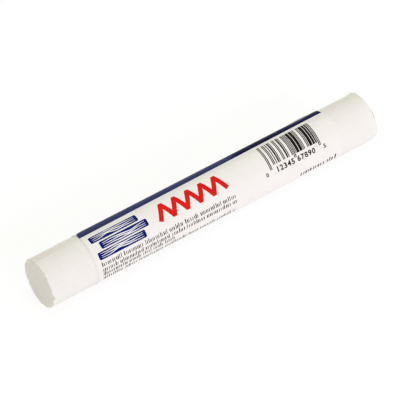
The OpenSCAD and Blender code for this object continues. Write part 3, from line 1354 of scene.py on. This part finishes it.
def studio_world(stage):
    """Even light from all round, in front of plain white."""
    world = bpy.data.worlds.new("Studio")
    world.use_nodes = True
    tree = world.node_tree
    around = tree.nodes["Background"]
    around.inputs["Color"].default_value = rgba(stage.ambient_tint)
    around.inputs["Strength"].default_value = stage.ambient
    shown = add_node(tree, "ShaderNodeBackground", {"Color": WHITE, "Strength": 1.0})
    show_apart(tree, around, shown, "World Output")
    return world


# Operators

class WAXSTICK_OT_wax_rod(Operator):
    """Make the wax rod, with its cut ends, chipped front rim and burr"""

    bl_idname = "waxstick.wax_rod"
    bl_label = "Wax Rod"

    def execute(self, context):
        wax = context.scene.wax_stick.wax
        rod = new_piece("wax_rod", rod_mesh("wax_rod", wax))
        rod.data.materials.append(wax_finish(wax))
        settle(rod, "stick", "wax_stick")
        return {"FINISHED"}


class WAXSTICK_OT_label_film(Operator):
    """Make the film wrap, lapped over its own start, with a pucker in its free edge"""

    bl_idname = "waxstick.label_film"
    bl_label = "Label Film"

    def execute(self, context):
        settings = context.scene.wax_stick
        label = settings.label
        start, free = start_line(label), free_line(label)
        points, faces = patch(sheet_columns(), lambda x: start, lambda x: free, SHEET_ROWS)
        lip = free - settings.marks.stripe_margin - LIP_DROP * MM
        mesh = slab(
            "label_film",
            points,
            faces,
            -label.thickness,
            0,
            # Soil and painted shade at the film's cut ends
            edge_wear=[edge_soil_and_shade(x, y) for x, y in points],
            # Painted shade on the loose lip, between the stripe and the free edge
            lip_dust=[lip_dust(x, y, lip, free) for x, y in points],
        )
        for vert in mesh.vertices[:len(points)]:
            gap = min(vert.co.x - FILM_LOW.x, FILM_HIGH.x - vert.co.x)
            vert.co.z -= label.edge_thinning * (1 - smooth(gap, 0, EDGE_COLUMNS[-1] * MM))
        film = wind(mesh, label, film_finish(label))
        settle(film, "sleeve", "label_wrap")
        return {"FINISHED"}


class WAXSTICK_OT_lap_bond(Operator):
    """Make the strip of adhesive in the lap, with its uneven squeezed edges"""

    bl_idname = "waxstick.lap_bond"
    bl_label = "Lap Adhesive"

    def execute(self, context):
        label = context.scene.wax_stick.label
        start = start_line(label)
        width = label.lap_turn * FILM_R - label.bond_inset

        def upper(x):
            wave = abs(noise.noise(Vector((x / (BOND_WAVE * MM), 0, 0))))
            return start + width - BOND_UNEVEN * MM * wave

        points, faces = patch(sheet_columns(), lambda x: start, upper, BOND_ROWS)
        mesh = slab("lap_adhesive", points, faces, 0, label.bond - label.bond_play)
        bond = wind(mesh, label, bond_finish(label))
        settle(bond, "sleeve", "seam_adhesive")
        return {"FINISHED"}


class WAXSTICK_OT_stripe(Operator):
    """Print the navy stripe along the label's upper edge"""

    bl_idname = "waxstick.stripe"
    bl_label = "Printed Stripe"

    def execute(self, context):
        settings = context.scene.wax_stick
        marks, label = settings.marks, settings.label
        start, end = FILM_LOW.x + marks.stripe_inset, FILM_HIGH.x - marks.stripe_gap
        corner = marks.stripe_corner
        high = free_line(label) - marks.stripe_margin

        def foot(x):
            part = (x - start) / (end - start)
            return marks.stripe_front + (marks.stripe_butt - marks.stripe_front) * part

        def top(x):
            return high - rounding(x - start, corner) - LIP_DROP * MM * lip_at(x)

        columns = [start + corner * part for part in CORNER_COLUMNS]
        columns += between(start + corner, end, STRIPE_COLUMNS)[1:]
        points, faces = patch(columns, foot, top, STRIPE_ROWS)
        # Share of the stripe that drops the sheen painted into its navy, towards the butt end
        loose = [smooth(x / MM, *LOOSE_PLACES) for x, _ in points]
        mesh = slab("stripe_ink", points, faces, -marks.ink_root, marks.ink_rise, loose=loose)
        navy = ink_finish(
            "Navy stripe ink", marks.navy, gloss=0.3, pinholes=0.12, tint_without_sheen=marks.loose_navy_without_sheen
        )
        settle(wind(mesh, label, navy), "sleeve")
        return {"FINISHED"}


class WAXSTICK_OT_boards(Operator):
    """Print three navy boards, laid staggered, with wood grain in white lines"""

    bl_idname = "waxstick.boards"
    bl_label = "Printed Boards"

    def execute(self, context):
        settings = context.scene.wax_stick
        marks = settings.marks
        navy = ink_finish("Navy board ink", marks.board_navy, gloss=0.28, pinholes=0.1)
        white = ink_finish("White grain ink", marks.white, gloss=0.32, pinholes=0.0)
        draw_flat("board_ink", [board_shape(*box) for box in BOARD_BOXES], settings, navy)
        draw_flat("board_grain", grain_shapes(), settings, white, marks.over_rise)
        return {"FINISHED"}


class WAXSTICK_OT_rub_mark(Operator):
    """Print the red zigzag rub mark"""

    bl_idname = "waxstick.rub_mark"
    bl_label = "Printed Rub Mark"

    def execute(self, context):
        settings = context.scene.wax_stick
        red = ink_finish("Red mark ink", settings.marks.red, gloss=0.3, pinholes=0.08)
        draw_flat("rub_mark", [rub_shape()], settings, red)
        return {"FINISHED"}


class WAXSTICK_OT_notes(Operator):
    """Print the rows of made-up small marks"""

    bl_idname = "waxstick.notes"
    bl_label = "Printed Notes"

    def execute(self, context):
        settings = context.scene.wax_stick
        dark = ink_finish("Dark note ink", settings.marks.dark, gloss=0.36, pinholes=0.0)
        draw = random.Random(settings.marks.seed)
        blocks = [block for row in NOTE_ROWS for block in tick_row(draw, *row)]
        draw_blocks("note_marks", blocks, settings, dark, TICK_STEPS)
        return {"FINISHED"}


class WAXSTICK_OT_bars(Operator):
    """Print the made-up bar code and the running digits under it"""

    bl_idname = "waxstick.bars"
    bl_label = "Printed Bars"

    def execute(self, context):
        settings = context.scene.wax_stick
        dark = ink_finish("Dark bar ink", settings.marks.dark, gloss=0.34, pinholes=0.0)
        bars = bar_blocks(random.Random(BAR_SEED))
        draw_blocks("bar_marks", bars, settings, dark, BAR_STEPS)
        draw_flat("bar_digits", [digit_shape(*row) for row in DIGIT_ROWS], settings, dark)
        return {"FINISHED"}


class WAXSTICK_OT_stage(Operator):
    """Set up the floor, the lamps and the camera"""

    bl_idname = "waxstick.stage"
    bl_label = "Stage"

    def execute(self, context):
        scene = context.scene
        stage = scene.wax_stick.stage
        add_floor(stage)
        key = soft_lamp("key", stage.key_width, stage.key_height, stage.key_power, stage.key_tint)
        top = soft_lamp("top", stage.top_width, stage.top_height, stage.top_power, stage.top_tint)
        front = place_at(key, stage.key_azimuth, stage.key_elevation, stage.lamp_distance)
        front.visible_glossy = False
        place_at(top, stage.top_azimuth, stage.top_elevation, stage.lamp_distance)
        scene.world = studio_world(stage)
        lens = bpy.data.cameras.new("camera")
        lens.lens = stage.lens
        lens.shift_x, lens.shift_y = stage.shift_x, stage.shift_y
        scene.camera = place_at(lens, stage.azimuth, stage.elevation, stage.distance)
        scene.view_settings.view_transform = "Standard"
        return {"FINISHED"}


OPERATORS = (
    WAXSTICK_OT_wax_rod,
    WAXSTICK_OT_label_film,
    WAXSTICK_OT_lap_bond,
    WAXSTICK_OT_stripe,
    WAXSTICK_OT_boards,
    WAXSTICK_OT_rub_mark,
    WAXSTICK_OT_notes,
    WAXSTICK_OT_bars,
    WAXSTICK_OT_stage,
)


class WAXSTICK_PT_sidebar(Panel):
    """Lists the stick's pieces"""

    bl_idname = "WAXSTICK_PT_sidebar"
    bl_label = "Wax Stick"
    bl_space_type = "VIEW_3D"
    bl_region_type = "UI"
    bl_category = "Wax Stick"

    def draw(self, context):
        for operator in OPERATORS:
            self.layout.operator(operator.bl_idname)


CLASSES = (
    WaxSettings,
    LabelSettings,
    PrintSettings,
    StageSettings,
    WaxStickSettings,
    *OPERATORS,
    WAXSTICK_PT_sidebar,
)


def register():
    for cls in CLASSES:
        bpy.utils.register_class(cls)
    bpy.types.Scene.wax_stick = PointerProperty(type=WaxStickSettings)


def unregister():
    del bpy.types.Scene.wax_stick
    for cls in reversed(CLASSES):
        bpy.utils.unregister_class(cls)


def main():
    register()
    bpy.ops.waxstick.wax_rod()
    bpy.ops.waxstick.label_film()
    bpy.ops.waxstick.lap_bond()
    bpy.ops.waxstick.stripe()
    bpy.ops.waxstick.boards()
    bpy.ops.waxstick.rub_mark()
    bpy.ops.waxstick.notes()
    bpy.ops.waxstick.bars()
    bpy.ops.waxstick.stage()


if __name__ == "__main__":
    main()
